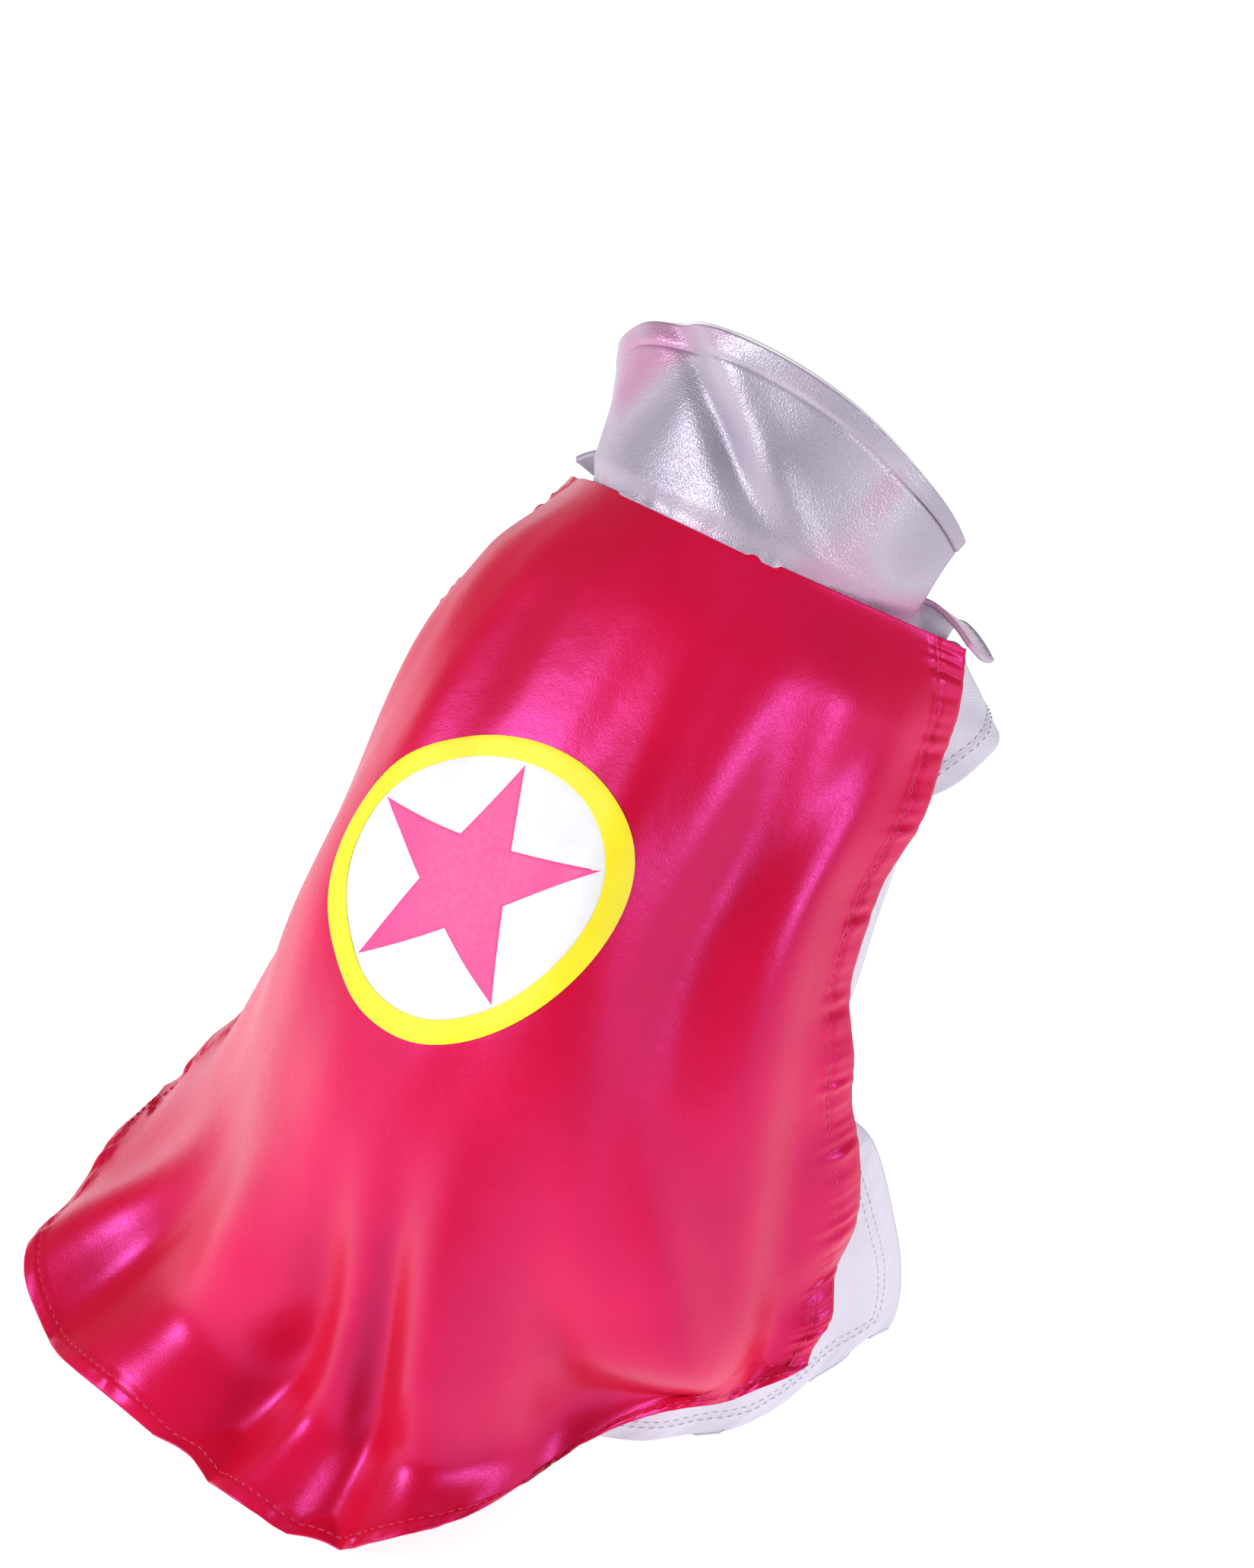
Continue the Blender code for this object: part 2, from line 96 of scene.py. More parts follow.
# The cape from neckline to hem: centre (y, z), right edge (x, y, z), left edge (x, y, z), in mm.
CAPE_STATIONS = np.array((
    (-36, 36, 62, 0, 3, -60, -4, 2),
    (-60, 24, 66, -10, -14, -63, -26, -6),
    (-90, -2, 69, -32, -32, -67, -46, -15),
    (-117, -30, 71, -54, -54, -74, -57, -43),
    (-143, -66, 76, -64, -82, -82, -60, -72),
    (-160, -105, 80, -66, -106, -90, -68, -104),
    (-170, -145, 83, -72, -134, -102, -80, -138),
    (-178, -173, 84, -83, -153, -116, -90, -166),
    (-203, -187, 84, -93, -166, -130, -98, -184)), float)

# Where the hem is pulled off its even curve: place across, width of the pull, shift in mm.
CAPE_HEM_PULLS = (
    (-0.56, 0.22, (-6.0, -16.0, 0.0)),
    (0.60, 0.26, (-5.0, 27.0, 12.0)),
)

# The shirt from neck to waist: spine (y, z), belly (y, z), half width.
SHIRT_STATIONS = np.array((
    (-34, 34, 34, -34, 45.5),
    (-56, 20, 38, -58, 52),
    (-84, -6, 24, -82, 56),
    (-110, -34, 4, -104, 60),
    (-135, -69, -21, -124, 65)), float)

# The skirt from waist to floor: back (y, z), middle of the sides from it (y, z), half width.
SKIRT_STATIONS = np.array((
    (-136, -71, 57, -27.5, 65.5),
    (-144, -105, 66, -12, 71),
    (-147, -148, 72, -3, 76),
    (-141, -188, 74, 0, 77)), float)

# Folds of the cape: place across at their top and bottom, start and end down it, width, height in mm.
FOLDS = (
    (0.22, 0.34, 0.06, 0.66, 0.12, 4.6),
    (0.52, 0.60, 0.08, 0.60, 0.12, -4.2),
    (-0.34, -0.50, 0.05, 0.55, 0.12, 2.4),
    (0.12, 0.27, 0.48, 1.10, 0.085, 7.0),
    (0.02, 0.10, 0.54, 1.10, 0.065, -6.0),
    (0.50, 0.74, 0.42, 1.10, 0.085, 6.5),
    (0.33, 0.50, 0.46, 1.10, 0.085, -7.5),
    (-0.26, -0.40, 0.58, 1.15, 0.100, 9.0),
    (-0.08, -0.215, 0.56, 1.20, 0.070, -9.5),
    (-0.03, -0.07, 0.62, 1.10, 0.070, 6.0),
    (-0.58, -0.66, 0.70, 1.15, 0.080, 4.5),
    (-0.48, -0.53, 0.72, 1.15, 0.060, -4.0),
    (0.84, 0.90, 0.44, 1.10, 0.070, -4.0),
    (0.78, 0.72, 0.10, 0.60, 0.090, 2.6),
)


def smooth(x):
    x = np.clip(x, 0, 1)
    return x * x * (3 - 2 * x)


def waves(x, seeds):
    """A sum of sines that never repeats in step: an even, repeatable wobble from -1 to 1."""
    total = np.zeros_like(x, dtype=float)
    for k, seed in enumerate(seeds):
        total += np.sin(x * (1 + 0.37 * k) + seed) / (1 + 0.35 * k)
    return total / sum(1 / (1 + 0.35 * k) for k in range(len(seeds)))


def along(stations, t):
    """Catmull-Rom values of a station table at t from 0 to 1."""
    last = len(stations) - 1
    place = np.clip(t, 0, 1) * last
    index = np.minimum(place.astype(int), last - 1)
    f = (place - index)[..., None]
    a, b, c, d = (stations[np.clip(index + k, 0, last)] for k in (-1, 0, 1, 2))
    return 0.5 * (2 * b + (c - a) * f + (2 * a - 5 * b + 4 * c - d) * f ** 2
                  + (3 * b - a - 3 * c + d) * f ** 3)


def cape_base(s, t):
    """The cape without its folds: s from -1, left edge, to 1, right edge, t from neckline to hem."""
    row = along(CAPE_STATIONS, t)
    right = s > 0
    edge = np.where(right[..., None], row[..., 2:5], row[..., 5:8])
    near_neck = smooth(1 - t * 7)
    wrap = CAPE_WRAP + (NECK_WRAP - CAPE_WRAP) * near_neck
    turn = np.abs(s) * wrap
    side = np.abs(edge[..., 0])
    flare = near_neck * (side - NECK_WIDTH)
    x = (side - flare) * np.sin(turn) / np.sin(wrap) + flare * np.abs(s) ** 5
    drop = (1 - np.cos(turn)) / (1 - np.cos(wrap))
    y = row[..., 0] + (edge[..., 1] - row[..., 0]) * drop
    z = row[..., 1] + (edge[..., 2] - row[..., 1]) * drop
    p = np.stack((np.copysign(x, s), y, z), -1)
    for middle, width, shift in CAPE_HEM_PULLS:
        pull = np.exp(-((s - middle) / width) ** 2) * smooth((t - 0.72) / 0.28)
        p = p + pull[..., None] * np.array(shift)
    return p


def shirt_base(angle, u):
    """The shirt without its wrinkles: angle 0 at the spine, u from neck to waist."""
    row = along(SHIRT_STATIONS, u)
    drop = (1 - np.cos(angle)) / 2
    return np.stack((row[..., 4] * np.sin(angle), row[..., 0] + (row[..., 2] - row[..., 0]) * drop,
                     row[..., 1] + (row[..., 3] - row[..., 1]) * drop), -1)


def skirt_base(angle, q):
    """The skirt without its folds: angle 0 at the back, q from waist to floor."""
    angle = angle * (1 - SKIRT_ROUNDING * np.maximum(0, q - 0.7) ** 2)
    row = along(SKIRT_STATIONS, q)
    drop = 1 - np.cos(angle)
    flare = SKIRT_FLARE * smooth((np.abs(angle) - math.radians(92)) / math.radians(28)) * smooth(q * 3)
    return np.stack(((row[..., 4] + flare) * np.sin(angle), row[..., 0] + row[..., 2] * drop,
                     row[..., 1] + row[..., 3] * drop), -1)


def normals_of(surface, a, b):
    """Outward unit normals of a surface function, by small steps."""
    step = 0.004
    da = surface(a + step, b) - surface(a - step, b)
    db = surface(a, np.clip(b + step, 0, 1)) - surface(a, np.clip(b - step, 0, 1))
    n = np.cross(db, da)
    return n / np.maximum(np.linalg.norm(n, axis=-1, keepdims=True), 1e-9)


def cape_half_width(t):
    inner = cape_base(np.full_like(t, 0.5), t) - cape_base(np.zeros_like(t), t)
    return np.linalg.norm(inner, axis=-1) * CHORD_TO_HALF


def cape_edges(s, t):
    """Distance in from the cape's nearest hemmed edge, and the way along that edge, in mm."""
    half = cape_half_width(t)
    to_side = (1 - np.abs(s)) * half
    to_bottom = (1 - t) * CAPE_LENGTH
    soft = 5.0
    near = -soft * np.log(np.exp(-to_side / soft) + np.exp(-to_bottom / soft))
    way = np.where(to_side < to_bottom, t * CAPE_LENGTH, CAPE_LENGTH + s * half)
    return near, way


def cape_lift(s, t):
    """How far the cloth stands off its base: folds, waves, hem and puckers."""
    h = np.zeros_like(s)
    for top, bottom, start, end, width, height in FOLDS:
        f = (t - start) / (end - start)
        centre = top + (bottom - top) * np.clip(f, 0, 1.2)
        centre = centre + 0.018 * np.sin(7 * f + top * 9)
        rise = smooth(f * 2.2) * smooth((1.25 - f) * 2.5)
        spread = width * (0.75 + 0.5 * np.clip(f, 0, 1))
        h += height * rise * np.exp(-((s - centre) / spread) ** 2)
    h += 1.3 * np.sin(9 * s + 5 * t) * np.sin(11 * t + 2 * s + 1) * smooth(t * 4)
    h += 0.35 * np.sin(23 * s - 13 * t + 1.0) * np.sin(17 * t + 9 * s) * smooth(t * 6)
    near, way = cape_edges(s, t)
    hem = smooth((HEM_WIDTH + 0.8 - near) / 1.6)
    stitch = np.exp(-((near - HEM_STITCH) / 0.75) ** 2)
    pucker = waves(way * 0.62, (0.3, 2.1, 4.4, 1.2)) * np.exp(-((near - 5.0) / 4.2) ** 2)
    roll = waves(way * 0.095, (1.3, 0.2, 2.9)) * np.exp(-(near / 16.0) ** 2)
    h += 0.55 * hem - 0.55 * stitch + 0.75 * pucker + 1.9 * roll * smooth(t * 3)
    return h


def cape_surface(s, t, height=0.0):
    """The cape's outer face in mm, with everything that lies on it raised by height."""
    s, t = np.broadcast_arrays(np.asarray(s, float), np.asarray(t, float))
    n = normals_of(cape_base, s, t)
    p = cape_base(s, t) + n * (cape_lift(s, t) + height)[..., None]
    p[..., 2] = np.maximum(p[..., 2], FLOOR + 1.0 + height)
    return p


def shirt_surface(angle, u, height=0.0):
    angle, u = np.broadcast_arrays(np.asarray(angle, float), np.asarray(u, float))
    n = normals_of(shirt_base, angle, u)
    wrinkle = 0.5 * np.sin(5 * angle + 6 * u) * np.sin(13 * u + 2 * angle)
    wrinkle = wrinkle + 0.35 * np.sin(11 * angle - 17 * u) * smooth(u * 4) * smooth((1 - u) * 4)
    return shirt_base(angle, u) + n * (wrinkle + height)[..., None]


def skirt_surface(angle, q, height=0.0):
    angle, q = np.broadcast_arrays(np.asarray(angle, float), np.asarray(q, float))
    n = normals_of(skirt_base, angle, q)
    fold = 1.6 * np.sin(6.3 * angle + 0.6) * smooth(q * 1.4) + 0.7 * np.sin(13 * angle + 4 * q)
    fold = fold + 0.4 * np.sin(9 * q + 21 * angle) * smooth(q * 3)
    edge = (SKIRT_SPAN - np.abs(angle)) * SKIRT_RADIUS
    low = (1 - q) * SKIRT_HEIGHT
    near = np.minimum(edge, low)
    pucker = waves((angle * SKIRT_RADIUS + q * SKIRT_HEIGHT) * 0.5, (0.4, 2.2, 1.1))
    fold = fold + 0.3 * np.exp(-((near - 5.0) / 3.5) ** 2) * pucker
    fold = fold + 0.35 * smooth((10.0 - near) / 1.5)
    p = skirt_base(angle, q) + n * (fold * 0.8 + height)[..., None]
    p[..., 2] = np.maximum(p[..., 2], FLOOR + 0.4)
    return p


def neck_point(angle, out=0.0, rise=0.0):
    """A point by the neck opening: out from its edge and rise along its axis."""
    x = (NECK_WIDTH + out) * np.sin(angle)
    back = (NECK_DEPTH + out) * np.cos(angle)
    return np.stack(np.broadcast_arrays(x, (-back + rise) * LEAN, (back + rise) * LEAN), -1)


# ---------------------------------------------------------------- meshes

def mesh_piece(name, points, faces, material):
    mesh = bpy.data.meshes.new(name)
    mesh.from_pydata((np.asarray(points) * MM).tolist(), [], faces)
    mesh.materials.append(material)
    mesh.shade_smooth()
    item = bpy.data.objects.new(name, mesh)
    bpy.context.scene.collection.objects.link(item)
    return item


def face_outward(item):
    work = bmesh.new()
    work.from_mesh(item.data)
    bmesh.ops.recalc_face_normals(work, faces=work.faces)
    work.to_mesh(item.data)
    work.free()


def cloth(name, points, material, thickness=0.6, wrap=False, back=None):
    """A closed sheet: a grid of points on its outer face, and the same grid thickness mm inside."""
    rows, cols = points.shape[:2]
    down = np.gradient(points, axis=0)
    if wrap:
        ahead = np.roll(points, -1, axis=1) - np.roll(points, 1, axis=1)
    else:
        ahead = np.gradient(points, axis=1)
    n = np.cross(down, ahead)
    n /= np.maximum(np.linalg.norm(n, axis=-1, keepdims=True), 1e-9)
    both = np.concatenate((points.reshape(-1, 3), (points - n * thickness).reshape(-1, 3)))
    layer = rows * cols
    faces = []
    across = cols if wrap else cols - 1
    for j in range(rows - 1):
        for i in range(across):
            m = (i + 1) % cols
            a, b, c, d = j * cols + i, j * cols + m, (j + 1) * cols + m, (j + 1) * cols + i
            faces.append((a, d, c, b))
            faces.append((a + layer, b + layer, c + layer, d + layer))
    rims = []
    if wrap:
        rims.append(list(range(cols)))
        rims.append([(rows - 1) * cols + i for i in reversed(range(cols))])
    else:
        rim = list(range(cols)) + [j * cols + cols - 1 for j in range(1, rows)]
        rim += [(rows - 1) * cols + i for i in range(cols - 2, -1, -1)]
        rim += [j * cols for j in range(rows - 2, 0, -1)]
        rims.append(rim)
    for rim in rims:
        for a, b in zip(rim, rim[1:] + rim[:1]):
            faces.append((a, b, b + layer, a + layer))
    item = mesh_piece(name, both, faces, material)
    if back is not None:
        item.data.materials.append(back)
        sides = 2 * across * (rows - 1)
        inner = [f % 2 for f in range(sides)] + [0] * (len(faces) - sides)
        item.data.polygons.foreach_set("material_index", inner)
    face_outward(item)
    return item


def stitches(name, route, material, length=2.2, pause=0.8, radius=0.24):
    """A row of thread stitches along a route: each one a short arc that dips into the cloth at its ends.

    The route is points and the outward direction at each."""
    points, ups = route
    steps = np.linalg.norm(np.diff(points, axis=0), axis=1)
    place = np.concatenate(((0,), np.cumsum(steps)))
    count = int(place[-1] // (length + pause))
    sides, stops = 6, 6
    sink = 0.35
    verts, faces = [], []
    for k in range(count):
        start = (k + 0.15) * place[-1] / count
        f = np.linspace(0, 1, stops)
        centres = np.stack([np.interp(start + f * length, place, points[:, c]) for c in range(3)], -1)
        up = np.stack([np.interp(start + f * length, place, ups[:, c]) for c in range(3)], -1)
        up /= np.linalg.norm(up, axis=1, keepdims=True)
        centres = centres + up * (sink * (np.sin(f * math.pi) - 0.75))[:, None]
        ahead = np.gradient(centres, axis=0)
        ahead /= np.maximum(np.linalg.norm(ahead, axis=1, keepdims=True), 1e-9)
        side = np.cross(ahead, up)
        base = len(verts)
        for c, a, b in zip(centres, side, up):
            for m in range(sides):
                turn = 2 * math.pi * m / sides
                verts.append(c + (a * math.cos(turn) + b * math.sin(turn)) * radius)
        for j in range(stops - 1):
            for m in range(sides):
                a, b = base + j * sides + m, base + j * sides + (m + 1) % sides
                faces.append((a, b, b + sides, a + sides))
        faces.append(tuple(base + m for m in reversed(range(sides))))
        faces.append(tuple(base + (stops - 1) * sides + m for m in range(sides)))
    item = mesh_piece(name, verts, faces, material)
    face_outward(item)
    return item


def route_on(surface, a, b, height):
    """Points on a surface function and its outward directions there."""
    low = surface(a, b, height)
    up = surface(a, b, height + 1.0) - low
    return low, up / np.maximum(np.linalg.norm(up, axis=1, keepdims=True), 1e-9)


# ---------------------------------------------------------------- materials

def new_material(name, colour, roughness):
    material = bpy.data.materials.new(name)
    material.use_nodes = True
    shader = material.node_tree.nodes["Principled BSDF"]
    shader.inputs["Base Color"].default_value = (*colour, 1)
    shader.inputs["Roughness"].default_value = roughness
    return material, material.node_tree, shader


def add(tree, kind, **values):
    node = tree.nodes.new(kind)
    for key, value in values.items():
        if hasattr(node, key):
            setattr(node, key, value)
        else:
            node.inputs[key.replace("_", " ")].default_value = value
    return node


def object_place(tree):
    return tree.nodes.new("ShaderNodeTexCoord").outputs["Object"]


def noise(tree, scale, detail=3.0):
    node = add(tree, "ShaderNodeTexNoise", Scale=scale, Detail=detail)
    tree.links.new(object_place(tree), node.inputs["Vector"])
    return node.outputs["Fac"]


def ramp(tree, value, stops):
    node = tree.nodes.new("ShaderNodeValToRGB")
    while len(node.color_ramp.elements) < len(stops):
        node.color_ramp.elements.new(0.5)
    for element, (place, colour) in zip(node.color_ramp.elements, stops):
        element.position = place
        element.color = (*colour, 1)
    tree.links.new(value, node.inputs["Fac"])
    return node.outputs["Color"]


def remap(tree, value, low, high):
    node = tree.nodes.new("ShaderNodeMapRange")
    node.inputs["To Min"].default_value = low
    node.inputs["To Max"].default_value = high
    tree.links.new(value, node.inputs["Value"])
    return node.outputs["Result"]


def bump(tree, shader, layers):
    """Bumps laid over each other, each a height value, a strength and a depth in metres."""
    previous = None
    for value, strength, depth in layers:
        node = add(tree, "ShaderNodeBump", Strength=strength, Distance=depth)
        tree.links.new(value, node.inputs["Height"])
        if previous is not None:
            tree.links.new(previous, node.inputs["Normal"])
        previous = node.outputs["Normal"]
    tree.links.new(previous, shader.inputs["Normal"])


def ribs(tree, direction, scale, distortion=0.4):
    node = add(tree, "ShaderNodeTexWave", wave_type="BANDS", bands_direction=direction,
               Scale=scale, Distortion=distortion, Detail=1.0)
    tree.links.new(object_place(tree), node.inputs["Vector"])
    return node.outputs["Fac"]


def satin_material():
    material, tree, shader = new_material("crimson_satin", (0.62, 0.002, 0.022), 0.34)
    tone = ramp(tree, noise(tree, 18.0, 2.0), ((0.3, (0.50, 0.001, 0.012)), (0.7, (0.64, 0.003, 0.030))))
    tree.links.new(tone, shader.inputs["Base Color"])
    speckle = noise(tree, 1700.0, 2.0)
    tree.links.new(remap(tree, speckle, 0.26, 0.48), shader.inputs["Roughness"])
    shader.inputs["Sheen Weight"].default_value = 0.06
    shader.inputs["Sheen Roughness"].default_value = 0.3
    shader.inputs["Sheen Tint"].default_value = (1.0, 0.20, 0.55, 1)
    shader.inputs["Specular Tint"].default_value = (1.0, 0.16, 0.90, 1)
    shader.inputs["Specular IOR Level"].default_value = 1.0
    bump(tree, shader, ((speckle, 0.35, 0.00012), (ribs(tree, "DIAGONAL", 900.0), 0.15, 0.00005),
                        (noise(tree, 160.0, 3.0), 0.25, 0.0006)))
    return material


def lining_material():
    material, tree, shader = new_material("crimson_lining", (0.40, 0.003, 0.02), 0.7)
    weave = ribs(tree, "DIAGONAL", 600.0)
    bump(tree, shader, ((weave, 0.4, 0.0001), (noise(tree, 220.0), 0.2, 0.0004)))
    shader.inputs["Sheen Weight"].default_value = 0.08
    shader.inputs["Sheen Tint"].default_value = (1.0, 0.3, 0.5, 1)
    return material


def silver_material():
    material, tree, shader = new_material("silver_satin", (0.40, 0.36, 0.44), 0.34)
    # Tone ramp: its first two stops are random grey-lavender variation; its last stop is painted pink
    # reflection of the crimson cape, in random patches over the silver
    tone = ramp(tree, noise(tree, 26.0, 1.0), ((0.35, (0.36, 0.32, 0.41)), (0.52, (0.46, 0.41, 0.51)),
                                               (0.66, (0.50, 0.24, 0.40))))
    tree.links.new(tone, shader.inputs["Base Color"])
    glitter = noise(tree, 2100.0, 1.0)
    tree.links.new(remap(tree, glitter, 0.20, 0.64), shader.inputs["Roughness"])
    shader.inputs["Metallic"].default_value = 0.4
    shader.inputs["Sheen Weight"].default_value = 0.3
    shader.inputs["Sheen Tint"].default_value = (1.0, 0.75, 0.92, 1)
    bump(tree, shader, ((glitter, 0.8, 0.0002), (noise(tree, 190.0), 0.3, 0.0005)))
    return material


def cloth_material(name, colour, roughness=0.85, knit=700.0, variation=0.05):
    """Matt cloth with a fine knit, soft unevenness and a little sheen."""
    material, tree, shader = new_material(name, colour, roughness)
    darker = tuple(c * (1 - variation) for c in colour)
    tone = ramp(tree, noise(tree, 45.0), ((0.3, darker), (0.7, colour)))
    tree.links.new(tone, shader.inputs["Base Color"])
    shader.inputs["Sheen Weight"].default_value = 0.25
    bump(tree, shader, ((ribs(tree, "X", knit), 0.35, 0.0001), (ribs(tree, "Z", knit * 0.8), 0.25, 0.0001),
                        (noise(tree, 240.0), 0.2, 0.0004)))
    return material


def print_material(name, colour):
    """Heat-transfer print: a thin smooth plastic skin that lets the cloth's grain through."""
    material, tree, shader = new_material(name, colour, 0.55)
    deeper = tuple(c * 0.94 for c in colour)
    tone = ramp(tree, noise(tree, 90.0), ((0.35, deeper), (0.65, colour)))
    tree.links.new(tone, shader.inputs["Base Color"])
    tree.links.new(remap(tree, noise(tree, 700.0), 0.45, 0.65), shader.inputs["Roughness"])
    bump(tree, shader, ((noise(tree, 1300.0, 2.0), 0.2, 0.0001), (noise(tree, 150.0), 0.15, 0.0005)))
    return material


def thread_material(name, colour):
    material, tree, shader = new_material(name, colour, 0.5)
    bump(tree, shader, ((ribs(tree, "DIAGONAL", 1600.0), 0.5, 0.0001),))
    shader.inputs["Sheen Weight"].default_value = 0.4
    return material


# ---------------------------------------------------------------- the cape


def bend_with_cape(piece):
    """Bakes the piece's placement into its mesh."""
    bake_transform(piece)


def build_cape(satin, lining):
    t, s = np.meshgrid(np.linspace(CAPE_TOP, 1, 300), np.linspace(-1, 1, 240), indexing="ij")
    cape = cloth("cape_cloth", cape_surface(s, t), satin, CAPE_THICKNESS, back=lining)
    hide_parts("cape_shoulder_panel", "cape_back_panel")
    bend_with_cape(cape)


def hem_line(inset):
    """The way round the cape's two sides and bottom, as s and t, inset mm from the edge."""
    t = np.linspace(0.02, 0.955, 260)
    side = 1 - inset / cape_half_width(t)
    low = 1 - inset / CAPE_LENGTH
    across = np.linspace(-side[-1] + 0.012, side[-1] - 0.012, 240)
    return (np.concatenate((-side, across, side[::-1])),
            np.concatenate((t, np.full(240, low), t[::-1])))


def build_hem_stitches(red):
    s, t = hem_line(HEM_STITCH)
    route = route_on(cape_surface, s, t, 0.1)
    item = stitches("cape_hem_stitches", route, red, length=2.0, pause=0.7, radius=0.22)
    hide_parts("cape_hem_thread", "cape_shoulder_thread_left", "cape_shoulder_thread_right")
    bend_with_cape(item)


def emblem_frame():
    ts = np.linspace(0, 0.8, 1600)
    line = cape_base(ts * 0, ts)
    way = np.concatenate(((0,), np.cumsum(np.linalg.norm(np.diff(line, axis=0), axis=1))))
    t = float(np.interp(EMBLEM_DROP, way, ts))
    at = np.array((t,))
    per_s = np.linalg.norm(cape_base(at * 0 + 0.1, at) - cape_base(at * 0 - 0.1, at)) / 0.2
    zero = np.zeros(1)
    per_t = np.linalg.norm(cape_base(zero, at + 0.05) - cape_base(zero, at - 0.05)) / 0.1
    return t, 1 / per_s, 1 / per_t


def star_outline(turn):
    """Radius of a five-pointed star whose sides run straight from point to notch."""
    fifth = 2 * math.pi / 5
    half = fifth / 2
    inner = STAR_RADIUS * math.cos(2 * half) / math.cos(half)
    off = np.abs((turn - STAR_LEAN + half) % fifth - half)
    bx, by = inner * math.cos(half), inner * math.sin(half)
    return STAR_RADIUS * by / (by * np.cos(off) - (bx - STAR_RADIUS) * np.sin(off))


def print_piece(name, inner, outer, height, thickness, material, rings=26, spokes=240):
    """A print layer on the cape between two outlines, given as radii for each spoke."""
    t0, ds, dt = emblem_frame()
    turn = STAR_LEAN + 2 * math.pi * np.arange(spokes) / spokes
    f = np.linspace(0, 1, rings)[:, None]
    low, high = inner(turn)[None], outer(turn)[None]
    reach = low + (high - low) * f
    across = reach * np.sin(turn)
    up = reach * np.cos(turn)
    s = (EMBLEM_SIDE + across + EMBLEM_STRETCH * up) * ds
    t = t0 - (up + EMBLEM_STRETCH * across) * dt
    edge = np.ones_like(s)
    edge[-1] = 0.35
    top = cape_surface(s, t, height + thickness * edge)
    under = cape_surface(s, t, height)
    verts = np.concatenate((top.reshape(-1, 3), under.reshape(-1, 3)))
    layer = rings * spokes
    faces = []
    for j in range(rings - 1):
        for i in range(spokes):
            m = (i + 1) % spokes
            a, b, c, d = j * spokes + i, j * spokes + m, (j + 1) * spokes + m, (j + 1) * spokes + i
            faces.append((a, b, c, d))
            faces.append((a + layer, d + layer, c + layer, b + layer))
    rim = (rings - 1) * spokes
    for i in range(spokes):
        m = (i + 1) % spokes
        faces.append((rim + i, rim + m, rim + m + layer, rim + i + layer))
    if low.min() > 1.0:
        faces += [(i, i + layer, (i + 1) % spokes + layer, (i + 1) % spokes) for i in range(spokes)]
    else:
        faces.append(tuple(reversed(range(spokes))))
        faces.append(tuple(layer + i for i in range(spokes)))
    item = mesh_piece(name, verts, faces, material)
    face_outward(item)
    item.data.set_sharp_from_angle(angle=math.radians(50))
    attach(item, "cape_back")
    return item


def build_emblem(yellow, white, pink):
    hole = EMBLEM_RADIUS - RING_WIDTH

    def even(radius):
        return lambda turn: np.full_like(turn, radius)
    ring = print_piece("emblem_ring_print", even(hole), even(EMBLEM_RADIUS), 0.10, 0.30,
                       yellow, rings=8)
    disc = print_piece("emblem_disc_print", even(0.3), even(hole - 0.02), 0.08, 0.24,
                       white)
    star = print_piece("emblem_star_print", lambda turn: star_outline(turn) * 0.012,
                       star_outline, 0.30, 0.22, pink)
    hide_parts("emblem_ring")
    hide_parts("emblem_disc")
    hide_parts("emblem_star")


# ---------------------------------------------------------------- the collar

def collar_surface(a, v, height=0.0):
    """The collar's outer face: angle round the neck and v from its seam to its top edge."""
    a, v = np.broadcast_arrays(np.asarray(a, float), np.asarray(v, float))
    tall = COLLAR_HEIGHT * (1 - 0.42 * (a / COLLAR_WRAP) ** 2)
    rise = -1.0 + (tall + 1.0) * v
    out = 1.2 + 1.6 * smooth(rise / 6) + COLLAR_FLARE * np.clip(rise / COLLAR_HEIGHT, 0, 1.2) ** 1.5
    diagonal = a - (0.55 - 1.0 * v)
    out = out - 3.0 * np.exp(-(diagonal / 0.13) ** 2) * smooth(v * 2.2)
    out = out + 1.6 * np.exp(-((diagonal - 0.26) / 0.14) ** 2) * smooth(v * 2)
    out = out + 1.1 * np.sin(5.2 * a + 0.4) * v + 0.5 * np.sin(11 * a - 5 * v) * smooth(v * 2)
    out = out + 0.35 * smooth((v - COLLAR_STITCH) / 0.03) - 0.5 * np.exp(-((v - COLLAR_STITCH) / 0.012) ** 2)
    out = out + 0.35 * np.exp(-(v / 0.08) ** 2) * waves(a * 26, (0.2, 1.9, 3.3))
    return neck_point(a, out + height, rise + 0.8 * np.sin(3.1 * a + 1.0) * v)


def build_collar(silver, painted_shade_facing, stiffener, edge_highlight, thread):
    v, a = np.meshgrid(np.linspace(0, 1, 90), np.linspace(-COLLAR_WRAP, COLLAR_WRAP, 220), indexing="ij")
    outer = cloth("collar_outer_cloth", collar_surface(a, v), silver, 0.5)
    # The facing is the silver satin coloured dark grey-brown as painted shade
    inside = cloth("collar_facing_cloth", collar_surface(a, v * 0.985, -1.5), painted_shade_facing, 0.5)
    middle = cloth("collar_interfacing_cloth", collar_surface(a * 0.985, 0.03 + v * 0.9, -0.8),
                   stiffener, 0.4)
    for item, node, slot in ((outer, "collar_outer", "silver_satin"),
                             (inside, "collar_facing", "silver_facing"),
                             (middle, "collar_interfacing", "interfacing")):
        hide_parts(node)
        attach(item, "garment")
    angle = np.linspace(-COLLAR_WRAP, COLLAR_WRAP, 160)
    rows = []
    for turn in np.linspace(0, 2 * math.pi, 13)[:-1]:
        rows.append(collar_surface(angle, 1.0 + 0.016 * math.sin(turn), -0.85 + 1.05 * math.cos(turn)))
    rows = np.stack(rows, axis=1)
    # The turned edge is the silver satin, coloured near-white as a painted highlight
    rim = cloth("collar_turned_edge", rows, edge_highlight, 0.35, wrap=True)
    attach(rim, "garment")
    route = route_on(collar_surface, np.linspace(-1.33, 1.33, 200), np.full(200, COLLAR_STITCH), 0.25)
    row = stitches("collar_edge_stitches", route, thread, radius=0.22)
    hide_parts("collar_edge_thread")
    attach(row, "garment")


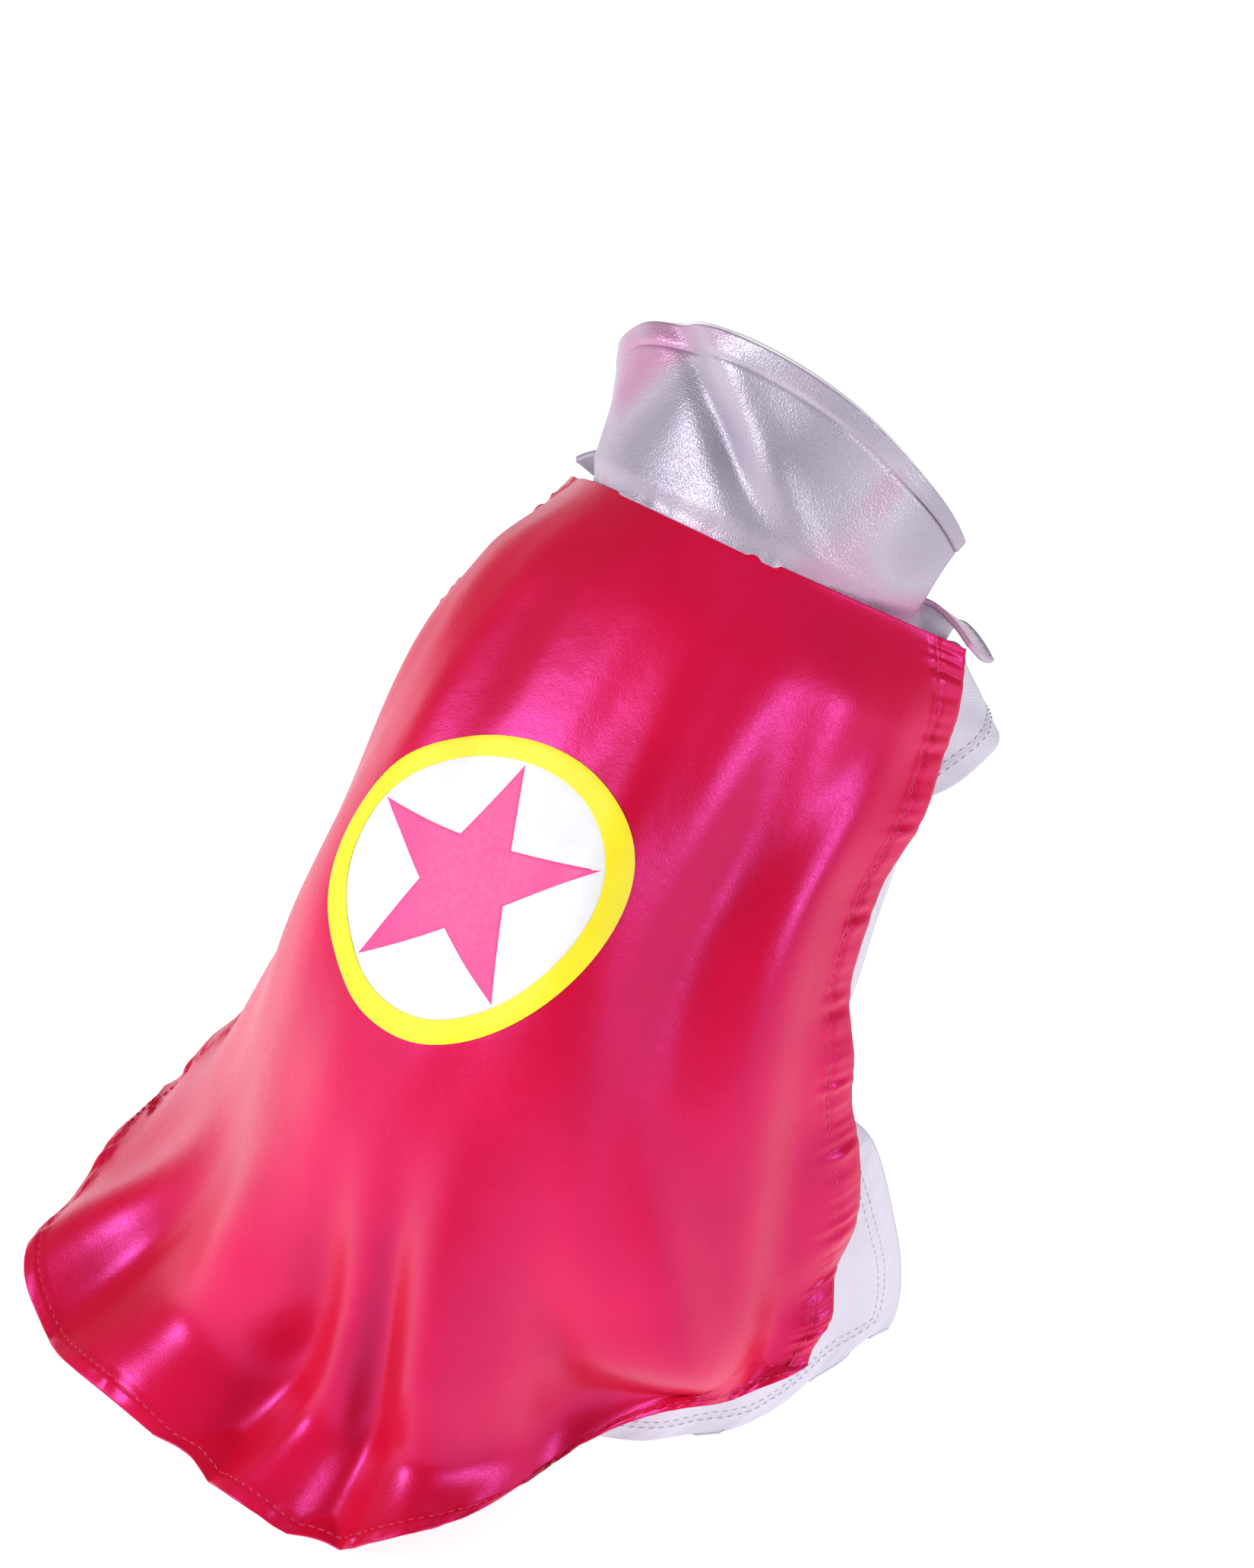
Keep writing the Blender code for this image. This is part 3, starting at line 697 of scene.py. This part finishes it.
def wing_surface_for(sign):
    """The collar point on one side, a function of i along its fold and j from neck to tip."""
    back = neck_point(np.array(sign * math.radians(75.5)), 2.0, 3.5)
    front = neck_point(np.array(sign * math.radians(118)), 2.0, 3.5)
    run = front - back
    neck_axis = np.array((0, LEAN, LEAN))
    out = np.cross(run, neck_axis)
    out = out / np.linalg.norm(out)
    if out[0] * sign < 0:
        out = -out
    profile = np.array(((-0.8, -3.0), (0.2, 3.0), (3.0, 4.6), (7.0, 3.8), (12.0, 1.6), (16.5, -1.2)))

    def surface(i, j, height=0.0):
        i, j = np.broadcast_arrays(np.asarray(i, float), np.asarray(j, float))
        rolled = along(profile, j)
        slope = along(profile, np.clip(j + 0.02, 0, 1)) - along(profile, np.clip(j - 0.02, 0, 1))
        slope = slope / np.maximum(np.linalg.norm(slope, axis=-1, keepdims=True), 1e-9)
        across = np.stack((-slope[..., 1], slope[..., 0]), -1)
        rolled = rolled + across * np.asarray(height, float)[..., None]
        low = 0.24 * j
        high = 1.0 - 0.22 * j ** 1.4
        place = low + (high - low) * i
        wave = 0.7 * np.sin(4 * i + 2 * j) * j
        return (back + run * place[..., None] + out * rolled[..., :1]
                + neck_axis * (rolled[..., 1] + wave)[..., None])
    return surface


def build_wing(side, sign, silver, thread):
    surface = wing_surface_for(sign)
    j, i = np.meshgrid(np.linspace(0, 1, 70), np.linspace(0, 1, 90), indexing="ij")
    edge = np.minimum(np.minimum(i, 1 - i) * WING_WIDTH, (1 - j) * WING_DEPTH)
    relief = 0.35 * smooth((2.6 - edge) / 0.8) - 0.35 * np.exp(-((edge - 2.2) / 0.35) ** 2)
    relief = relief - 0.3 * np.exp(-((edge - 4.6) / 0.35) ** 2)
    top = surface(i, j, relief * smooth(j * 4) + 0.5)
    under = surface(i, j, np.full_like(i, -0.6))
    rows, cols = i.shape
    verts = np.concatenate((top.reshape(-1, 3), under.reshape(-1, 3)))
    layer = rows * cols
    faces = []
    for r in range(rows - 1):
        for c in range(cols - 1):
            a = r * cols + c
            faces.append((a, a + 1, a + 1 + cols, a + cols))
            faces.append((a + layer, a + cols + layer, a + cols + 1 + layer, a + 1 + layer))
    rim = list(range(cols)) + [r * cols + cols - 1 for r in range(1, rows)]
    rim += [(rows - 1) * cols + c for c in range(cols - 2, -1, -1)]
    rim += [r * cols for r in range(rows - 2, 0, -1)]
    faces += [(a, b, b + layer, a + layer) for a, b in zip(rim, rim[1:] + rim[:1])]
    item = mesh_piece(f"collar_point_{side}_cloth", verts, faces, silver)
    face_outward(item)
    body = f"collar_point_{side}"
    away = (surface(0.5, 0.6) - surface(0.5, 0.15)) * MM
    away = away / np.linalg.norm(away)
    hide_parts(f"collar_wing_{side}")
    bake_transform(item)
    for name, inset in (("outer", 2.2), ("inner", 4.6)):
        di, dj = inset / WING_WIDTH, 1 - inset / WING_DEPTH
        ii = np.concatenate((np.full(30, di), np.linspace(di, 1 - di, 40), np.full(30, 1 - di)))
        jj = np.concatenate((np.linspace(0.3, dj, 30), np.full(40, dj), np.linspace(dj, 0.3, 30)))
        row = stitches(f"collar_point_{side}_{name}_stitches",
                       route_on(surface, ii, jj, 0.35), thread, radius=0.2, length=1.8)
        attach(row, body)


def build_neck_tape(tape):
    angle = np.linspace(0, 2 * math.pi, 160, endpoint=False)
    rows = [neck_point(angle, -2.6 + 0.25 * np.sin(angle * 40), rise) for rise in np.linspace(-4, 3, 10)]
    item = cloth("neck_tape_cloth", np.stack(rows), tape, 0.6, wrap=True)
    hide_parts("neck_tape")
    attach(item, "garment")


# ---------------------------------------------------------------- the shirt

def sleeve_ring(sign, turn, ahead, radius):
    """Points round the sleeve, out along its direction by ahead."""
    base = np.array((sign * 42.0, 0.0, -26.0))
    way = np.array((sign * 0.49, 0.12, -0.86))
    way = way / np.linalg.norm(way)
    across = np.cross(way, (1, 0, 0))
    across = across / np.linalg.norm(across)
    over = np.cross(across, way)
    return (base + way * np.asarray(ahead)[..., None] + across * (np.cos(turn) * radius)[..., None]
            + over * (np.sin(turn) * radius)[..., None])


def sleeve_surface_for(sign):
    def surface(turn, f, height=0.0):
        turn, f = np.broadcast_arrays(np.asarray(turn, float), np.asarray(f, float))
        ahead = SLEEVE_START + SLEEVE_LENGTH * f
        radius = SLEEVE_RADIUS + 0.4 + 2.0 * np.exp(-f * 6) + 0.5 * np.sin(3 * turn + 2 * f)
        radius = radius + 0.35 * np.sin(7 * turn - 6 * f) + 0.35 * smooth((f - 0.72) / 0.04)
        radius = radius + 0.15 * waves(turn * 14, (0.5, 2.5, 1.1)) * smooth((f - 0.6) / 0.2)
        return sleeve_ring(sign, turn, ahead, radius + height)
    return surface


def with_armholes(item):
    """Cuts the two armholes out of a shirt panel."""
    turn = np.linspace(0, 2 * math.pi, 64, endpoint=False)
    cutters = []
    for sign in (1, -1):
        rings = [sleeve_ring(sign, turn, np.full(64, a), np.full(64, SLEEVE_RADIUS + 0.6))
                 for a in ARMHOLE]
        faces = [tuple(range(64)), tuple(range(127, 63, -1))]
        faces += [(k, k + 64, (k + 1) % 64 + 64, (k + 1) % 64) for k in range(64)]
        cutter = mesh_piece("armhole_cutter", np.concatenate(rings), faces, item.data.materials[0])
        face_outward(cutter)
        cutters.append(cutter)
        modifier = item.modifiers.new("armhole", "BOOLEAN")
        modifier.operation = "DIFFERENCE"
        modifier.object = cutter
    bpy.context.view_layer.update()
    shape = bpy.data.meshes.new_from_object(item.evaluated_get(bpy.context.evaluated_depsgraph_get()))
    item.modifiers.clear()
    item.data = shape
    for cutter in cutters:
        bpy.data.objects.remove(cutter)
    shape.shade_smooth()
    shape.set_sharp_from_angle(angle=math.radians(60))
    return item


def panel(name, span, low, high, size, material, lift=0.0, thickness=0.7, surface=shirt_surface):
    """A sheet over part of a surface: span in degrees, low and high down it, size in points."""
    j, i = np.meshgrid(np.linspace(low, high, size[1]), np.radians(np.linspace(*span, size[0])),
                       indexing="ij")
    return cloth(name, surface(i, j, lift(i) if callable(lift) else lift), material, thickness)


def left_flap_lift(angle):
    """The left belly flap rises from its seam to lie over the right flap and the closure pads."""
    return FLAP_LIFT * smooth((math.radians(FLAP_SEAM) - angle) / math.radians(28))


def build_sleeve(side, sign, jersey, thread):
    surface = sleeve_surface_for(sign)
    f, turn = np.meshgrid(np.linspace(0, 1, 46), np.linspace(0, 2 * math.pi, 128, endpoint=False),
                          indexing="ij")
    item = cloth(f"sleeve_{side}_cloth", surface(turn, f), jersey, 0.7, wrap=True)
    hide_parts(f"sleeve_{side}")
    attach(item, "garment")
    circle = np.linspace(0, 2 * math.pi, 150)
    for name, place in (("outer", 0.80), ("inner", 0.72)):
        route = route_on(surface, circle, np.full(150, place), 0.15)
        row = stitches(f"sleeve_{side}_{name}_stitches", route, thread, radius=0.18, length=1.8)
        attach(row, "garment")
    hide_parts(f"sleeve_thread_{side}")


def plain_stitches(name, surface, a, b, height, thread, body):
    row = stitches(name, route_on(surface, a, b, height), thread, radius=0.18, length=1.8)
    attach(row, body)
    return row


def build_shirt(jersey, thread, hook, loop, label):
    back = with_armholes(panel("shirt_back_cloth", (-112.8, 112.8), 0.0, 0.99, (220, 120), jersey))
    chest = with_armholes(panel("shirt_chest_cloth", (113.4, 246.6), 0.0, 0.487, (130, 60), jersey))
    for item, node, flat, area in ((back, "shirt_back_panel", (0.255, 0.145), 0.0295),
                                   (chest, "shirt_chest_panel", (0.14, 0.052), 0.0052)):
        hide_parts(node)
        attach(item, "garment")
    for side, sign in (("right", 1), ("left", -1)):
        build_sleeve(side, sign, jersey, thread)
    flap_size = (110, 60)
    right = panel("belly_flap_right_cloth", (113.6, 196), 0.493, 0.99, flap_size, jersey)
    left = panel("belly_flap_left_cloth", (164, 245.4), 0.493, 0.99, flap_size, jersey, lift=left_flap_lift)
    for item, side, body in ((right, "right", "garment"), (left, "left", "belly_closure")):
        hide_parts(f"belly_flap_{side}")
        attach(item, body)
    hook_pad = panel("hook_pad_cloth", (170, 192), 0.60, 0.90, (40, 60), hook, lift=1.5, thickness=0.8)
    loop_pad = panel("loop_pad_cloth", (168, 194), 0.58, 0.92, (40, 60), loop, lift=2.6, thickness=0.6)
    for item, name, body in ((hook_pad, "hook", "garment"), (loop_pad, "loop", "belly_closure")):
        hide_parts(name + "_pad")
        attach(item, body)
    tag = panel("care_label_cloth", (-9, 9), 0.14, 0.24, (30, 20), label, lift=-2.2, thickness=0.3)
    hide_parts("care_label")
    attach(tag, "garment")
    turn = np.radians(np.linspace(166, 243, 120))
    plain_stitches("belly_flap_left_lower_stitches", shirt_surface, turn, np.full(120, WAIST_STITCH),
                   left_flap_lift(turn) + 0.15,
                   thread, "belly_closure")
    plain_stitches("belly_flap_left_end_stitches", shirt_surface, np.full(80, math.radians(167)),
                   np.linspace(0.52, WAIST_STITCH, 80), 3.75, thread, "belly_closure")
    turn = np.radians(np.linspace(-111, 111, 200))
    plain_stitches("waist_stitches", shirt_surface, turn, np.full(200, WAIST_STITCH), 0.15, thread,
                   "garment")


def build_skirt(jersey, thread):
    def joined(angle, q, height):
        """The skirt, its top edge laid over the shirt's waist and sewn down."""
        seam = shirt_surface(angle, np.full_like(q, 0.972), 0.95)
        hold = smooth(1 - q / 0.035)[..., None]
        return skirt_surface(angle, q, height) * (1 - hold) + seam * hold
    skirt = panel("skirt_cloth", (-114, 114), 0.0, 1.0, (240, 160), jersey, surface=joined)
    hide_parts("skirt_panel")
    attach(skirt, "garment")
    for name, inset in (("outer", 8.4), ("inner", 10.6)):
        side = SKIRT_SPAN - inset / SKIRT_RADIUS
        low = 1 - inset / SKIRT_HEIGHT
        a = np.concatenate((np.full(90, -side), np.linspace(-side, side, 260), np.full(90, side)))
        b = np.concatenate((np.linspace(0.03, low, 90), np.full(260, low), np.linspace(low, 0.03, 90)))
        plain_stitches(f"skirt_hem_{name}_stitches", skirt_surface, a, b, 0.15, thread,
                                   "garment")
    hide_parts("skirt_hem_thread")


# ---------------------------------------------------------------- the studio

def build_studio():
    bpy.context.scene.view_settings.view_transform = "Standard"
    world = bpy.data.worlds.new("studio")
    world.use_nodes = True
    world.node_tree.nodes["Background"].inputs["Color"].default_value = (1, 1, 1, 1)
    world.node_tree.nodes["Background"].inputs["Strength"].default_value = 0.26
    bpy.context.scene.world = world
    bpy.ops.mesh.primitive_plane_add(size=8, location=(0, 0, FLOOR * MM - 0.0006))
    floor = bpy.context.object
    floor.name = "floor"
    material, _, shader = new_material("floor", (0.92, 0.92, 0.93), 0.8)
    shader.inputs["Emission Color"].default_value = (1, 1, 1, 1)
    shader.inputs["Emission Strength"].default_value = 0.68
    floor.data.materials.append(material)
    for name, place, size, power in (("key", (-0.60, -0.95, 0.55), 0.34, 11.5),
                                     ("right", (1.20, -0.15, 0.42), 0.30, 6.8),
                                     ("top", (0.1, 0.5, 1.2), 0.7, 1.5)):
        light = bpy.data.lights.new(name, "AREA")
        light.size = size
        light.energy = power
        item = bpy.data.objects.new(name, light)
        item.location = place
        item.rotation_euler = (Vector((0, -0.08, -0.08)) - Vector(place)).to_track_quat("-Z", "Y").to_euler()
        bpy.context.scene.collection.objects.link(item)


def build_camera():
    azimuth, elevation, distance = math.radians(38), math.radians(40), 1.6
    target = Vector((-0.006, -0.0506, -0.043))
    away = Vector((math.sin(azimuth) * math.cos(elevation), -math.cos(azimuth) * math.cos(elevation),
                   math.sin(elevation)))
    camera = bpy.data.cameras.new("camera")
    camera.lens = 144
    item = bpy.data.objects.new("camera", camera)
    item.location = target + away * distance
    item.rotation_euler = (-away).to_track_quat("-Z", "Y").to_euler()
    bpy.context.scene.collection.objects.link(item)
    bpy.context.scene.camera = item


def main():
    build_camera()
    build_studio()
    satin = satin_material()
    lining = lining_material()
    silver = silver_material()
    jersey = cloth_material("white_jersey", (0.69, 0.655, 0.78))
    white_thread = thread_material("white_thread", (0.80, 0.77, 0.86))
    silver_thread = thread_material("silver_thread", (0.72, 0.68, 0.75))
    build_cape(satin, lining)
    build_hem_stitches(thread_material("crimson_thread", (0.62, 0.01, 0.07)))
    build_emblem(print_material("print_yellow", (0.90, 0.76, 0.01)),
                 print_material("print_white", (0.80, 0.79, 0.82)),
                 print_material("print_pink", (0.88, 0.05, 0.27)))
    # The collar facing's colour is painted shade: the silver satin darkened to grey-brown
    build_collar(silver, cloth_material("silver_facing", (0.30, 0.25, 0.26), 0.5),
                 cloth_material("interfacing", (0.85, 0.85, 0.83)),
                 # The collar's turned edge is coloured near-white as a painted highlight on the silver satin
                 cloth_material("collar_edge_highlight", (0.82, 0.79, 0.84), 0.5), silver_thread)
    for side, sign in (("right", 1), ("left", -1)):
        build_wing(side, sign, silver, silver_thread)
    build_neck_tape(cloth_material("white_tape", (0.80, 0.78, 0.82)))
    build_shirt(jersey, white_thread, cloth_material("hook_strip", (0.78, 0.77, 0.80), 0.6, 1500.0, 0.2),
                cloth_material("loop_strip", (0.86, 0.85, 0.88), 0.95, 400.0, 0.1),
                cloth_material("label", (0.93, 0.93, 0.92), 0.7))
    build_skirt(jersey, white_thread)


main()
